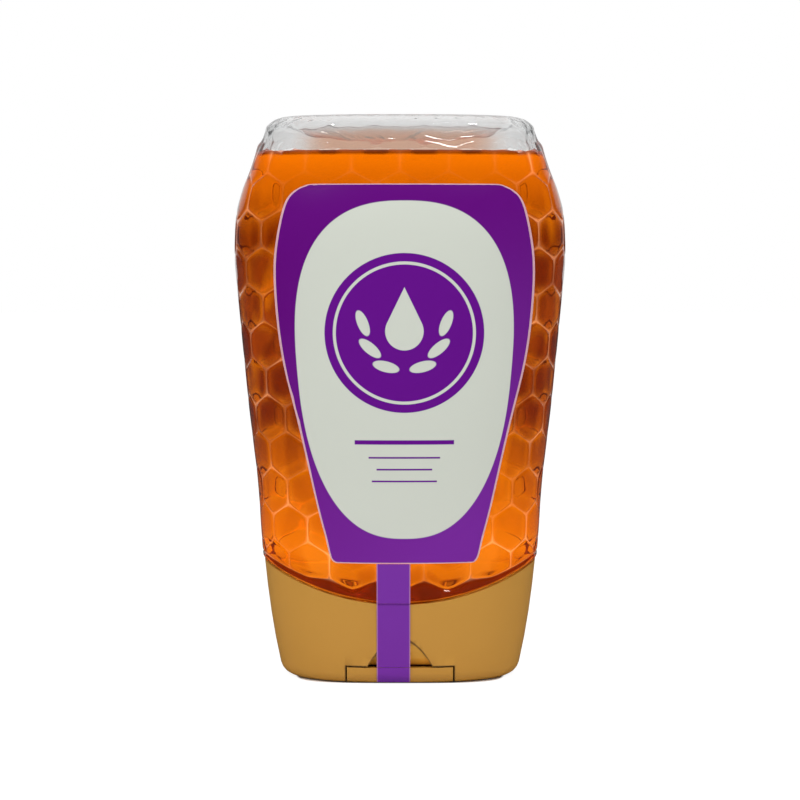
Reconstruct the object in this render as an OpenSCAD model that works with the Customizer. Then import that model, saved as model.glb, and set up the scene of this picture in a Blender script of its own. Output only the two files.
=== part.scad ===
// Honey squeeze bottle that stands upside down on a wide flip-top cap.
// The origin is under the middle of the cap, +Z is up and the front faces -Y.

/* [Bottle] */
// Overall height, from the underside of the cap to the top rim
overall_h = 145; // [130:1:165]
// Width at the widest height
overall_w = 86.3; // [78:0.1:94]
// Front to back depth at the widest height
overall_d = 54.5; // [52.5:0.1:58]
// Thickness of the blown wall
bottle_wall = 0.8; // [0.6:0.05:1.1]
// Radius of the rounded rim at the top
rim_r = 6; // [4.5:0.25:7]
// Depth of the hollow in the top face
punt_depth = 6.6; // [4:0.1:7]
// Width of the rim between its rounding and the hollow
punt_land = 1; // [0.6:0.1:2]
// Run of the sloping side of the hollow
punt_run = 10.4; // [8:0.1:11]
// Gap between the edge of the cap and the shoulder above it
shoulder_gap = 0.9; // [0.6:0.05:1.4]

/* [Honeycomb] */
// Number of cells round the bottle
cells_round = 18; // [14:4:18]
// Number of rows of cells
cell_rows = 12; // [10:1:12]
// Half of the spacing of the cells on the front
half_pitch = 6.15; // [5.8:0.05:6.3]
// Distance from the top of the bottle down to the middle of the top row
top_row_drop = 11.6; // [11:0.1:13]
// Height of the middle of the lowest row above the edge of the cap
low_row_rise = 9.5; // [8.5:0.1:10.5]
// Depth of the grooves between the cells
groove_depth = 0.6; // [0.3:0.05:0.8]
// Width of the grooves between the cells
groove_w = 1.5; // [1:0.05:2]

/* [Neck] */
// Room between the collar round the neck and the skirt in front of it
collar_room = 0.73; // [0.6:0.01:1]
// Thickness of the wall of the neck
neck_wall = 1.7; // [1.6:0.05:2.2]
// Length of the neck
neck_l = 10; // [9.6:0.1:10.2]
// Gap between the mouth and the sealing washer
mouth_gap = 0.05; // [0.02:0.01:0.1]
// How far the snap bead stands out from the neck
bead_out = 0.5; // [0.3:0.05:0.65]
// Distance from the mouth to the middle of the snap bead
bead_rise = 3.8; // [3:0.1:4.5]
// Height of the snap bead
bead_h = 1.6; // [1.2:0.1:2]

/* [Contents] */
// Distance from the top of the bottle down to the surface of the honey
fill_drop = 9.4; // [8.9:0.1:10]
// Gap drawn between the honey and the wall
honey_gap = 0.05; // [0.04:0.01:0.1]
// Gap between the honey and the valve retainer
honey_valve_gap = 0.2; // [0.1:0.05:0.4]

/* [Cap] */
// Height of the edge of the cap at the front and the back
edge_front_z = 20.9; // [20.6:0.1:23]
// Height of the edge of the cap at the two sides
edge_side_z = 30.3; // [28:0.1:32]
// How far the cap lies inside the outline of the bottle
cap_inset = 0.4; // [0.2:0.05:0.8]
// Thickness of the skirt of the cap
cap_wall = 1.5; // [1.2:0.05:1.7]
// Thickness of the underside of the cap
cap_floor = 1.5; // [1.2:0.05:1.8]
// Radius round the bottom edge of the cap
cap_corner_r = 3; // [2:0.1:3.5]
// Running gap between the skirt and the shoulder inside it
skirt_gap = 0.4; // [0.35:0.05:0.6]
// Thickness of the collar that grips the neck
collar_wall = 1.6; // [1.2:0.1:1.8]
// Gap between the snap bead and the collar
bead_gap = 0.2; // [0.1:0.05:0.3]
// Height of the collar above the deck
collar_h = 9.5; // [8.5:0.1:10]
// Thickness of the ribs between the collar and the skirt
rib_t = 1.1; // [0.8:0.1:1.6]
// Height of the ribs above the underside plate
rib_h = 9.5; // [6:0.5:12]

/* [Lid] */
// Width of the pocket that holds the lid
pocket_w = 27.8; // [26:0.1:29]
// Height of the pocket
pocket_h = 4.7; // [4.4:0.1:5]
// Distance from the middle of the cap to the back of the pocket
pocket_back = 14; // [13.6:0.1:14.2]
// Thickness of the deck above the pocket
deck_t = 1.4; // [1.2:0.1:1.5]
// Gap round the lid in its pocket
lid_gap = 0.35; // [0.3:0.05:0.45]
// How far the lid stays above the underside of the cap
lid_lift = 0.3; // [0.2:0.05:0.5]
// Thickness of the plate of the lid
lid_t = 1.5; // [1.2:0.1:1.8]
// Thickness of the walls of the lid
lid_wall = 1.2; // [1:0.1:1.6]
// Gap between the sealing ring on the lid and the hole that it closes
plug_gap = 0.6; // [0.5:0.05:1]
// Thickness of the sealing ring on the lid
plug_wall = 1.1; // [0.9:0.1:1.4]
// Height of the sealing ring above the plate of the lid
plug_h = 3.6; // [3.2:0.05:3.7]
// Width of the thumb scoop above the lid
scoop_w = 16.6; // [14:0.2:20]
// Height of the thumb scoop
scoop_h = 7.3; // [6:0.1:9]
// Depth of the thumb scoop at the lid
scoop_depth = 2.6; // [1.8:0.1:3]
// Width of the living hinge
hinge_w = 16; // [12:0.5:20]
// Length of the living hinge, from the lid to the back of the pocket
hinge_l = 1; // [0.8:0.1:1.4]
// Thickness of the living hinge
hinge_t = 0.4; // [0.3:0.05:0.5]

/* [Valve] */
// Width of the deck under the flange of the valve
valve_seat_w = 2.3; // [2:0.1:2.6]
// Thickness of the flange of the valve
valve_flange_t = 1.2; // [1:0.05:1.3]
// Thickness of the skin of the valve
valve_skin = 0.6; // [0.5:0.05:0.8]
// Length of each arm of the cross slit
slit_l = 6.5; // [5:0.1:8]
// Width of the cross slit
slit_w = 0.12; // [0.1:0.02:0.2]
// Thickness of the retainer ring beside the flange of the valve
retainer_wall = 1.9; // [1.5:0.1:2.1]
// Distance from the hole in the deck out to the bore of the retainer ring
retainer_back = 0.6; // [0.3:0.1:1]
// Height of the retainer ring
retainer_h = 2.6; // [2.4:0.05:2.7]
// Thickness of the ring on the deck round the retainer
seat_ring_wall = 1.2; // [1:0.1:1.4]
// Gap between the ring on the deck and the bore of the neck
seat_ring_gap = 1.2; // [1:0.1:1.6]
// Height of the ring on the deck
seat_ring_h = 2; // [1.6:0.1:2.4]
// Gap between the ring on the deck and the sealing washer
washer_gap = 0.4; // [0.3:0.05:0.6]
// Thickness of the sealing washer
washer_t = 1.2; // [1:0.05:1.5]
// Gap round the parts that are pressed into the deck
fit_gap = 0.1; // [0.05:0.01:0.15]
// Gap between the skin of the valve and the hole in the deck
skin_gap = 0.35; // [0.3:0.05:0.45]

/* [Labels] */
// Thickness of the printed film
film_t = 0.15; // [0.1:0.01:0.25]
// Gap between the film and the outline of the bottle
film_gap = 0.1; // [0.08:0.01:0.16]
// How far the label sits to the right of the middle
label_shift = 1.1; // [0:0.1:2]
// Distance from the top of the bottle down to the label
label_drop = 17.8; // [16:0.1:22]
// Distance from the edge of the cap up to the label
label_rise = 10.7; // [9.5:0.1:14]
// Half of the width of the label at its widest
label_half_w = 32.8; // [28:0.1:34]
// Width of the seal strip
strip_w = 8.5; // [6:0.1:12]
// How far the seal strip sits to the left of the middle
strip_shift = 1.65; // [0:0.05:3]

/* [Hidden] */

purple = [0.33, 0.02, 0.46];
gold = [0.76, 0.55, 0.24];
overrun = 1;
facets = 96;

// Exponent of the rounded outline, where two is an ellipse
outline_share = 2.35;
// Half width at shares of the height, as shares of the widest half width
width_shares = [
    [0, 0.72], [0.07, 0.768], [0.14, 0.804], [0.22, 0.833], [0.35, 0.863], [0.48, 0.914],
    [0.6, 0.953], [0.7, 0.985], [0.78, 1], [0.84, 0.979], [0.89, 0.924], [0.925, 0.866],
    [0.96, 0.826], [1, 0.8]];
depth_ratio = overall_d / overall_w;

// Heights that follow from the sizes above
deck_top_z = pocket_h + deck_t;
mouth_z = deck_top_z + washer_t + mouth_gap;
neck_root_z = mouth_z + neck_l;
bead_z = mouth_z + bead_rise;
fill_z = overall_h - fill_drop;

// Diameters from the skirt at the front inwards, each inside the one before
collar_d = 2 * (plain_half(deck_top_z) * depth_ratio - cap_inset - cap_wall - collar_room);
collar_bore = collar_d - 2 * collar_wall;
bead_d = collar_bore - 2 * bead_gap;
neck_d = bead_d - 2 * bead_out;
neck_bore = neck_d - 2 * neck_wall;
seat_ring_d = neck_bore - 2 * seat_ring_gap;
washer_bore = seat_ring_d + 2 * washer_gap;
retainer_d = seat_ring_d - 2 * (seat_ring_wall + fit_gap);
valve_d = retainer_d - 2 * (retainer_wall + fit_gap);
orifice_d = valve_d - 2 * valve_seat_w;
retainer_bore = orifice_d + 2 * retainer_back;
plug_d = orifice_d - 2 * plug_gap;

// Smooth curve through a table, with slopes taken from the neighbouring points
function table_slope(t, j) =
    let (a = max(j - 1, 0), b = min(j + 1, len(t) - 1))
    (t[b][1] - t[a][1]) / (t[b][0] - t[a][0]);
function table_at(t, v) =
    let (j = max([for (k = [0 : len(t) - 2]) if (t[k][0] <= max(v, t[0][0])) k]))
    let (span = t[j + 1][0] - t[j][0], f = min(max((v - t[j][0]) / span, 0), 1))
    let (g = f * f * (3 - 2 * f))
    t[j][1] + (t[j + 1][1] - t[j][1]) * g
    + span * (f * (1 - f) * (1 - f) * table_slope(t, j) - f * f * (1 - f) * table_slope(t, j + 1));

// Half width of the outline at a height, with the rounded rim
rim_z = overall_h - rim_r;
function plain_half(z) = table_at(width_shares, z / overall_h) * overall_w / 2;
function half_w(z) = z <= rim_z
    ? plain_half(z)
    : plain_half(rim_z) - rim_r + sqrt(max(rim_r * rim_r - (z - rim_z) * (z - rim_z), 0));

// Point of the rounded outline at a polar angle, measured from the front
function outline_r(a, b, phi) =
    1 / pow(pow(abs(sin(phi)) / a, outline_share) + pow(abs(cos(phi)) / b, outline_share),
            1 / outline_share);
function outline_at(a, b, phi, z) =
    let (r = outline_r(a, b, phi)) [r * sin(phi), -r * cos(phi), z];
function outline_y(a, b, x) = -b * pow(1 - pow(abs(x) / a, outline_share), 1 / outline_share);

// Arc length from the front along a quarter of the outline, for a half width of one
arc_steps = 60;
function arc_angle(j) = j * 90 / arc_steps;
function arc_chord(j) = norm(outline_at(1, depth_ratio, arc_angle(j), 0)
                             - outline_at(1, depth_ratio, arc_angle(j - 1), 0));
arc_table = [
    for (j = 0, s = 0; j <= arc_steps; j = j + 1, s = s + (j <= arc_steps ? arc_chord(j) : 0))
    [s, arc_angle(j)]];
quarter_arc = arc_table[arc_steps][0];

// Columns run round the bottle, two to a cell, with column zero at the front
columns = 2 * cells_round;
quarter = columns / 4;
function column_arc(u, q) = half_pitch * u + (q - quarter * half_pitch) * pow(u / quarter, 4);
function quarter_phi(u, z) =
    let (h = plain_half(z)) lookup(column_arc(u, h * quarter_arc) / h, arc_table);
function column_phi(u, z) =
    let (v = (u + columns) % columns)
    v <= quarter ? quarter_phi(v, z)
    : v <= 2 * quarter ? 180 - quarter_phi(2 * quarter - v, z)
    : v <= 3 * quarter ? 180 + quarter_phi(v - 2 * quarter, z)
    : 360 - quarter_phi(columns - v, z);
function on_bottle(u, z, depth) =
    outline_at(half_w(z) - depth, half_w(z) * depth_ratio - depth, column_phi(u, z), z);

// The wavy edge of the cap, low at the front and high at the sides
wave_share = 2.1;
function edge_z(phi) =
    let (x = outline_r(1, depth_ratio, phi) * abs(sin(phi)))
    edge_front_z + (edge_side_z - edge_front_z) * pow(x, wave_share);
function column_edge(u) = edge_z(column_phi(u, edge_front_z));

// The lattice of the honeycomb: row k of its corners is the zigzag above row k of the cells
top_row_z = overall_h - top_row_drop;
row_pitch = (top_row_z - edge_front_z - low_row_rise) / (cell_rows - 1);
slant_share = 1 / 3;
cell_rise = row_pitch * slant_share;
cell_edge_h = row_pitch - cell_rise;
rim_ring_shares = [0.5, 0.6, 0.87];
smooth_ring_z = rim_z + rim_r * rim_ring_shares[1];
groove_half = groove_w / 2;
low_margin = 2 * groove_half;
function odd(n) = abs(n) % 2 == 1;
function corner_z(k, u) = k < 0
    ? smooth_ring_z
    : max(top_row_z - row_pitch * k + cell_edge_h / 2 + (odd(k + u) ? cell_rise : 0),
          column_edge(u) + shoulder_gap + low_margin);
function cell_column(k, j) = 2 * j + (odd(k) ? 0 : 1);
function cell_corner(n) = [[0, 0], [0, 1], [1, 1], [1, 0], [1, -1], [0, -1]][n];

// Cells of the smooth panel under the label, the same on the front and the back
function from_front(u) = min((u + columns) % columns, columns - (u + columns) % columns);
function from_middle(u) = min(from_front(u), abs(2 * quarter - from_front(u)));
function panel_reach(k) =
    k < 1 || k > cell_rows - 2 ? -1 : k < 6 ? (odd(k) ? 4 : 3) : (odd(k) ? 2 : 3);
function is_panel(k, u) = from_middle(u) <= panel_reach(k);
function corner_in_panel(k, u) = odd(k + u)
    ? is_panel(k, u) && is_panel(k - 1, u - 1) && is_panel(k - 1, u + 1)
    : is_panel(k - 1, u) && is_panel(k, u - 1) && is_panel(k, u + 1);
function corner_depth(k, u) = k < 0 || corner_in_panel(k, u) ? 0 : groove_depth;

function cell_mid_z(k, c) = (corner_z(k, c) + corner_z(k + 1, c)) / 2;
inset_share = 1 - groove_half / half_pitch;
function inset_point(k, c, n) =
    let (q = cell_corner(n), z = cell_mid_z(k, c))
    on_bottle(c + q[1] * inset_share, z + (corner_z(k + q[0], c + q[1]) - z) * inset_share, 0);

// Faces between two rings of points, the first of them above the other seen from outside
function ring_faces(a, b, n) = [for (i = [0 : n - 1])
    let (j = (i + 1) % n) each [[a + i, a + j, b + j], [a + i, b + j, b + i]]];
function turned(faces) = [for (f = faces) [f[2], f[1], f[0]]];
// Faces down a stack of rings that are stored one after the other
function stack_faces(first, rings, n) =
    [for (m = [1 : rings - 1]) each ring_faces(first + (m - 1) * n, first + m * n, n)];
function fan_faces(a, n, tip) = [for (i = [0 : n - 1]) [tip, a + (i + 1) % n, a + i]];

// Rings below the lattice, each as [height above the edge of the cap, depth] or [height, radius]
lip_r = 0.7;
ledge_depth = cap_inset + cap_wall + skirt_gap;
skirt_overlap = 3.2;
shoulder_mid_share = 0.5;
function edge_ring(rise, depth) =
    [for (i = [0 : columns - 1]) on_bottle(i, column_edge(i) + rise, depth)];
function round_ring(r, z) =
    [for (i = [0 : columns - 1]) let (a = i * 360 / columns) [r * sin(a), -r * cos(a), z]];
function mid_ring(a, b, s) = [for (i = [0 : len(a) - 1]) a[i] + (b[i] - a[i]) * s];

function outer_lattice() = [for (k = [-1 : cell_rows]) for (i = [0 : columns - 1])
    on_bottle(i, corner_z(k, i), corner_depth(k, i))];
function outer_cells() = [for (k = [-1 : cell_rows - 1]) for (j = [0 : cells_round - 1])
    let (c = cell_column(k, j))
    each concat([for (n = [0 : 5]) inset_point(k, c, n)], [on_bottle(c, cell_mid_z(k, c), 0)])];
function lattice_id(k, i) = (k + 1) * columns + (i + columns) % columns;
function cell_id(k, j) = (cell_rows + 2) * columns + 7 * ((k + 1) * cells_round + j);
function outer_cell_faces(k, j) =
    let (c = cell_column(k, j), m = cell_id(k, j))
    [for (n = [0 : 5])
        let (o = (n + 1) % 6, p = cell_corner(n), q = cell_corner(o))
        let (a = lattice_id(k + p[0], c + p[1]), b = lattice_id(k + q[0], c + q[1]))
        each [[a, b, m + o], [a, m + o, m + n], [m + n, m + o, m + 6]]];

// The punt is the hollow in the top face, given by its depth inside the outline
top_half = plain_half(rim_z);
punt_edge_depth = rim_r + punt_land;
punt_floor_depth = punt_edge_depth + punt_run;
function top_ring(depth, z) = [for (i = [0 : columns - 1])
    outline_at(top_half - depth, top_half * depth_ratio - depth, column_phi(i, rim_z), z)];

module bottle_shell() {
    lattice = outer_lattice();
    cells = outer_cells();
    punt_z = overall_h - punt_depth;
    upper = [
        [for (i = [0 : columns - 1]) on_bottle(i, rim_z + rim_r * rim_ring_shares[2], 0)],
        top_ring(rim_r, overall_h),
        top_ring(punt_edge_depth, overall_h - lip_r / 2),
        top_ring(punt_edge_depth + lip_r, overall_h - 2 * lip_r),
        top_ring(punt_floor_depth, punt_z)];
    ledge = edge_ring(shoulder_gap - lip_r, ledge_depth);
    skirt_end = edge_ring(-skirt_overlap, ledge_depth);
    root = round_ring(neck_d / 2, neck_root_z);
    lower = [
        [for (i = [0 : columns - 1]) on_bottle(i, corner_z(cell_rows, i) - groove_half, 0)],
        edge_ring(shoulder_gap, 0),
        edge_ring(shoulder_gap - lip_r, lip_r),
        ledge, skirt_end,
        mid_ring(skirt_end, root, shoulder_mid_share),
        root,
        round_ring(neck_d / 2, bead_z + bead_h / 2),
        round_ring(bead_d / 2, bead_z + bead_h / 6),
        round_ring(bead_d / 2, bead_z - bead_h / 6),
        round_ring(neck_d / 2, bead_z - bead_h / 2),
        round_ring(neck_d / 2, mouth_z),
        round_ring(neck_bore / 2, mouth_z)];
    skirt_end_in = edge_ring(-skirt_overlap + bottle_wall / 2, ledge_depth + bottle_wall);
    root_in = round_ring(neck_bore / 2, neck_root_z + bottle_wall);
    inner = [
        root_in,
        mid_ring(skirt_end_in, root_in, shoulder_mid_share),
        skirt_end_in,
        edge_ring(shoulder_gap - lip_r + bottle_wall, ledge_depth + bottle_wall)];
    inner_lattice = [for (k = [cell_rows : -1 : 0]) inner_corner_ring(k, bottle_wall)];
    inner_cells = inner_centres(bottle_wall);
    top_in = [
        [for (i = [0 : columns - 1]) on_bottle(i, rim_z + rim_r * rim_ring_shares[0], bottle_wall)],
        top_ring(rim_r, overall_h - bottle_wall),
        top_ring(punt_edge_depth - bottle_wall, overall_h - lip_r / 2 - bottle_wall),
        top_ring(punt_floor_depth - bottle_wall, punt_z - bottle_wall)];
    n0 = len(lattice);
    n1 = n0 + len(cells);
    n2 = n1 + len(upper) * columns;
    n3 = n2 + 1;
    n4 = n3 + len(lower) * columns;
    n5 = n4 + len(inner) * columns;
    n6 = n5 + len(inner_lattice) * columns;
    n7 = n6 + len(inner_cells);
    n8 = n7 + len(top_in) * columns;
    points = concat(lattice, cells, [for (r = upper) each r], [[0, 0, punt_z]],
                    [for (r = lower) each r], [for (r = inner) each r],
                    [for (r = inner_lattice) each r], inner_cells,
                    [for (r = top_in) each r], [[0, 0, punt_z - bottle_wall]]);
    faces = concat(
        [for (k = [-1 : cell_rows - 1]) for (j = [0 : cells_round - 1]) each outer_cell_faces(k, j)],
        ring_faces(n1, 0, columns),
        [for (m = [1 : len(upper) - 1]) each
            ring_faces(n1 + m * columns, n1 + (m - 1) * columns, columns)],
        fan_faces(n2 - columns, columns, n2),
        ring_faces(lattice_id(cell_rows, 0), n3, columns),
        stack_faces(n3, len(lower), columns),
        ring_faces(n4 - columns, n4, columns),
        stack_faces(n4, len(inner), columns),
        ring_faces(n5 - columns, n5, columns),
        inner_cell_faces(n5, n6),
        ring_faces(n6 - columns, n7, columns),
        stack_faces(n7, len(top_in), columns),
        turned(fan_faces(n8 - columns, columns, n8)));
    polyhedron(points, faces, convexity = 10);
}

// The inside follows the cells, with the corners pushed in and the middles out
function inner_corner_ring(k, depth) = [for (i = [0 : columns - 1])
    k == 0 ? on_bottle(i, fill_z, depth + groove_depth)
    : on_bottle(i, corner_z(k, i), depth + corner_depth(k, i))];
function inner_mid_z(k, c) = k == 0 ? (fill_z + corner_z(1, c)) / 2 : cell_mid_z(k, c);
function inner_centres(depth) = [for (k = [0 : cell_rows - 1]) for (j = [0 : cells_round - 1])
    let (c = cell_column(k, j)) on_bottle(c, inner_mid_z(k, c), depth)];
// Faces of the inside, where the lattice rings are stored from the lowest up
function inner_id(base, k, i) = base + (cell_rows - k) * columns + (i + columns) % columns;
function inner_cell_faces(base, middles) =
    [for (k = [0 : cell_rows - 1]) for (j = [0 : cells_round - 1]) for (n = [0 : 5])
        let (c = cell_column(k, j), p = cell_corner(n), q = cell_corner((n + 1) % 6))
        [inner_id(base, k + q[0], c + q[1]), inner_id(base, k + p[0], c + p[1]),
         middles + k * cells_round + j]];

module bottle() {
    color([0.85, 0.86, 0.86, 0.35]) bottle_shell();
}

module honey() {
    gap = bottle_wall + honey_gap;
    lattice = [for (k = [cell_rows : -1 : 0]) inner_corner_ring(k, gap)];
    middles = inner_centres(gap);
    low_z = deck_top_z + retainer_h + honey_valve_gap;
    neck_r = neck_bore / 2 - 2 * honey_gap;
    skirt_end_in = edge_ring(-skirt_overlap + gap / 2, ledge_depth + gap);
    root_in = round_ring(neck_r, neck_root_z + gap);
    rings = [
        round_ring(neck_r, low_z),
        root_in,
        mid_ring(skirt_end_in, root_in, shoulder_mid_share),
        skirt_end_in,
        edge_ring(shoulder_gap - lip_r + gap, ledge_depth + gap)];
    n0 = len(rings) * columns;
    n1 = n0 + len(lattice) * columns;
    n2 = n1 + len(middles);
    points = concat([for (r = rings) each r], [for (r = lattice) each r], middles,
                    [[0, 0, low_z], [0, 0, fill_z]]);
    faces = concat(
        stack_faces(0, len(rings), columns),
        ring_faces(n0 - columns, n0, columns),
        inner_cell_faces(n0, n1),
        fan_faces(0, columns, n2),
        turned(fan_faces(n1 - columns, columns, n2 + 1)));
    color([0.93, 0.45, 0.03]) polyhedron(points, turned(faces), convexity = 10);
}

// The cap follows the outline of the bottle, drawn in by the inset
cap_columns = 72;
cap_levels = 4;
cap_corner_steps = 4;
function cap_phi(i) =
    let (s = i * 4 / cap_columns, q = floor(s), f = s - q)
    let (p = lookup((odd(q) ? 1 - f : f) * quarter_arc, arc_table))
    odd(q) ? (q + 1) * 90 - p : q * 90 + p;
function cap_ring(depth, z_low, share) = [for (i = [0 : cap_columns - 1])
    let (phi = cap_phi(i), z = z_low + (edge_z(phi) - z_low) * share)
    outline_at(half_w(z) - cap_inset - depth, half_w(z) * depth_ratio - cap_inset - depth, phi, z)];
function corner_in(z) = z < cap_corner_r ? cap_corner_r - sqrt(z * (2 * cap_corner_r - z)) : 0;
function corner_ring(m) =
    let (z = cap_corner_r * (1 - cos(m * 90 / cap_corner_steps))) cap_ring(corner_in(z), z, 0);

function cap_outer_rings() = concat(
    [for (m = [0 : cap_corner_steps]) corner_ring(m)],
    [for (m = [1 : cap_levels]) cap_ring(0, cap_corner_r, m / cap_levels)]);

module cap_solid() {
    rings = cap_outer_rings();
    flat = len(rings) * cap_columns;
    points = concat([for (r = rings) each r], [[0, 0, 0], [0, 0, edge_front_z]]);
    faces = concat(
        [for (m = [1 : len(rings) - 1]) each
            ring_faces(m * cap_columns, (m - 1) * cap_columns, cap_columns)],
        turned(fan_faces(0, cap_columns, flat)),
        fan_faces(flat - cap_columns, cap_columns, flat + 1));
    polyhedron(points, faces, convexity = 6);
}

module cap_shell() {
    outer = cap_outer_rings();
    inner = [for (m = [cap_levels : -1 : 0]) cap_ring(cap_wall, cap_floor, m / cap_levels)];
    n0 = len(outer) * cap_columns;
    n1 = n0 + len(inner) * cap_columns;
    points = concat([for (r = outer) each r], [for (r = inner) each r], [[0, 0, 0], [0, 0, cap_floor]]);
    faces = concat(
        [for (m = [1 : len(outer) - 1]) each
            ring_faces(m * cap_columns, (m - 1) * cap_columns, cap_columns)],
        turned(fan_faces(0, cap_columns, n1)),
        turned(ring_faces(n0 - cap_columns, n0, cap_columns)),
        turned(stack_faces(n0, len(inner), cap_columns)),
        fan_faces(n1 - cap_columns, cap_columns, n1 + 1));
    polyhedron(points, faces, convexity = 6);
}

front_reach = overall_d;

module block(w, y0, y1, z0, z1) {
    translate([-w / 2, y0, z0]) cube([w, y1 - y0, z1 - z0]);
}

// Rounded arch, a parabola drawn in the plane of the front
arch_steps = 12;
module arch(w, h) {
    polygon([for (i = [-arch_steps : arch_steps])
        let (s = i / arch_steps) [s * w / 2, h * (1 - s * s)]]);
}

front_low_y = outline_y(half_w(pocket_h) - cap_inset, half_w(pocket_h) * depth_ratio - cap_inset, 0);
front_high_y = outline_y(half_w(pocket_h + scoop_h) - cap_inset,
                         half_w(pocket_h + scoop_h) * depth_ratio - cap_inset, 0);
scoop_tilt = atan2(front_low_y + scoop_depth - front_high_y, scoop_h);

// The space in front of a plane that leans in towards the lid
module scoop_space(w, h, inward) {
    intersection() {
        translate([0, 0, pocket_h]) rotate([90, 0, 0]) linear_extrude(front_reach) arch(w, h);
        translate([0, front_high_y + inward, pocket_h + scoop_h])
            rotate([scoop_tilt, 0, 0])
            translate([-w, -front_reach, -2 * h]) cube([2 * w, front_reach, 2 * h + overrun]);
    }
}

rib_angle = 24;
module ribs() {
    for (side = [0, 180]) for (turn = [-1, 1])
        rotate([0, 0, side + turn * rib_angle])
            translate([collar_d / 2 - rib_t / 2, -rib_t / 2, cap_floor / 2])
            cube([overall_w / 2, rib_t, rib_h + cap_floor / 2]);
}

module cap_inside() {
    intersection() {
        cap_solid();
        union() {
            cylinder(h = deck_top_z, d = collar_d, $fn = facets);
            block(pocket_w + 2 * cap_wall, -front_reach, pocket_back + cap_wall, 0, deck_top_z);
            scoop_space(scoop_w + 2 * cap_wall, scoop_h + cap_wall, cap_wall);
            ribs();
        }
    }
    difference() {
        cylinder(h = deck_top_z + collar_h, d = collar_d, $fn = facets);
        translate([0, 0, deck_top_z]) cylinder(h = collar_h + overrun, d = collar_bore, $fn = facets);
    }
    difference() {
        cylinder(h = deck_top_z + seat_ring_h, d = seat_ring_d, $fn = facets);
        translate([0, 0, deck_top_z])
            cylinder(h = seat_ring_h + overrun, d = retainer_d + 2 * fit_gap, $fn = facets);
    }
}

module cap() {
    color(gold) difference() {
        union() {
            cap_shell();
            cap_inside();
        }
        block(pocket_w, -front_reach, pocket_back, -overrun, pocket_h);
        cylinder(h = deck_top_z + overrun, d = orifice_d, $fn = facets);
        scoop_space(scoop_w, scoop_h, 0);
    }
}

lid_top_z = pocket_h - lid_gap;
lid_w = pocket_w - 2 * lid_gap;
lid_back = pocket_back - hinge_l;

module lid() {
    color(gold) union() {
        difference() {
            intersection() {
                cap_solid();
                block(lid_w, -front_reach, lid_back, lid_lift, lid_top_z);
            }
            block(lid_w - 2 * lid_wall, front_low_y + 2 * lid_wall, lid_back - lid_wall,
                  lid_lift + lid_t, pocket_h);
        }
        difference() {
            translate([0, 0, lid_lift]) cylinder(h = lid_t + plug_h, d = plug_d, $fn = facets);
            translate([0, 0, lid_lift + lid_t])
                cylinder(h = plug_h + overrun, d = plug_d - 2 * plug_wall, $fn = facets);
        }
    }
}

module lid_hinge() {
    color(gold) block(hinge_w, lid_back, pocket_back, lid_lift, lid_lift + hinge_t);
}

// The skin of the valve dips in the middle, from this share of its radius
bend_share = 0.6;
module valve() {
    z = deck_top_z;
    r = orifice_d / 2 - skin_gap;
    dip = valve_skin;
    bend = r * bend_share;
    color([0.93, 0.93, 0.9]) difference() {
        rotate_extrude($fn = facets)
            polygon([[0, z - dip], [bend, z - dip / 2], [r, z], [valve_d / 2, z],
                     [valve_d / 2, z + valve_flange_t], [r, z + valve_flange_t],
                     [bend, z + valve_skin - dip / 2], [0, z + valve_skin - dip]]);
        for (turn = [0, 90]) rotate([0, 0, turn])
            translate([-slit_l / 2, -slit_w / 2, z - overrun]) cube([slit_l, slit_w, 2 * overrun]);
    }
}

module valve_retainer() {
    z = deck_top_z;
    over = z + valve_flange_t;
    color([0.9, 0.9, 0.88]) rotate_extrude($fn = facets)
        polygon([[valve_d / 2 + fit_gap, z], [retainer_d / 2, z], [retainer_d / 2, z + retainer_h],
                 [retainer_bore / 2, z + retainer_h], [retainer_bore / 2, over],
                 [valve_d / 2 + fit_gap, over]]);
}

module neck_washer() {
    color([0.95, 0.95, 0.93]) translate([0, 0, deck_top_z]) difference() {
        cylinder(h = washer_t, d = collar_bore - 2 * fit_gap, $fn = facets);
        translate([0, 0, -overrun]) cylinder(h = washer_t + 2 * overrun, d = washer_bore, $fn = facets);
    }
}

// Half width of the label at shares of its height, as shares of its widest half width
label_shares = [
    [0, 0.53], [0.0045, 0.555], [0.017, 0.574], [0.07, 0.608], [0.12, 0.65], [0.22, 0.717],
    [0.34, 0.795], [0.43, 0.86], [0.52, 0.927], [0.6, 0.965], [0.7, 0.993], [0.8, 1],
    [0.88, 0.966], [0.94, 0.925], [0.975, 0.875], [0.993, 0.79], [1, 0.72]];
label_rows = 24;
label_columns = 16;
label_low_z = edge_front_z + label_rise;
label_h = overall_h - label_drop - label_low_z;
// Rows lie closer together at both ends, where the corners are round
function label_row_share(m) = (1 - cos(180 * m / label_rows)) / 2;
// Columns lie closer together at the sides, where the outline bends more
side_angle = 65;
function column_share(i, n) = sin((2 * i / n - 1) * side_angle) / sin(side_angle);

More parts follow.
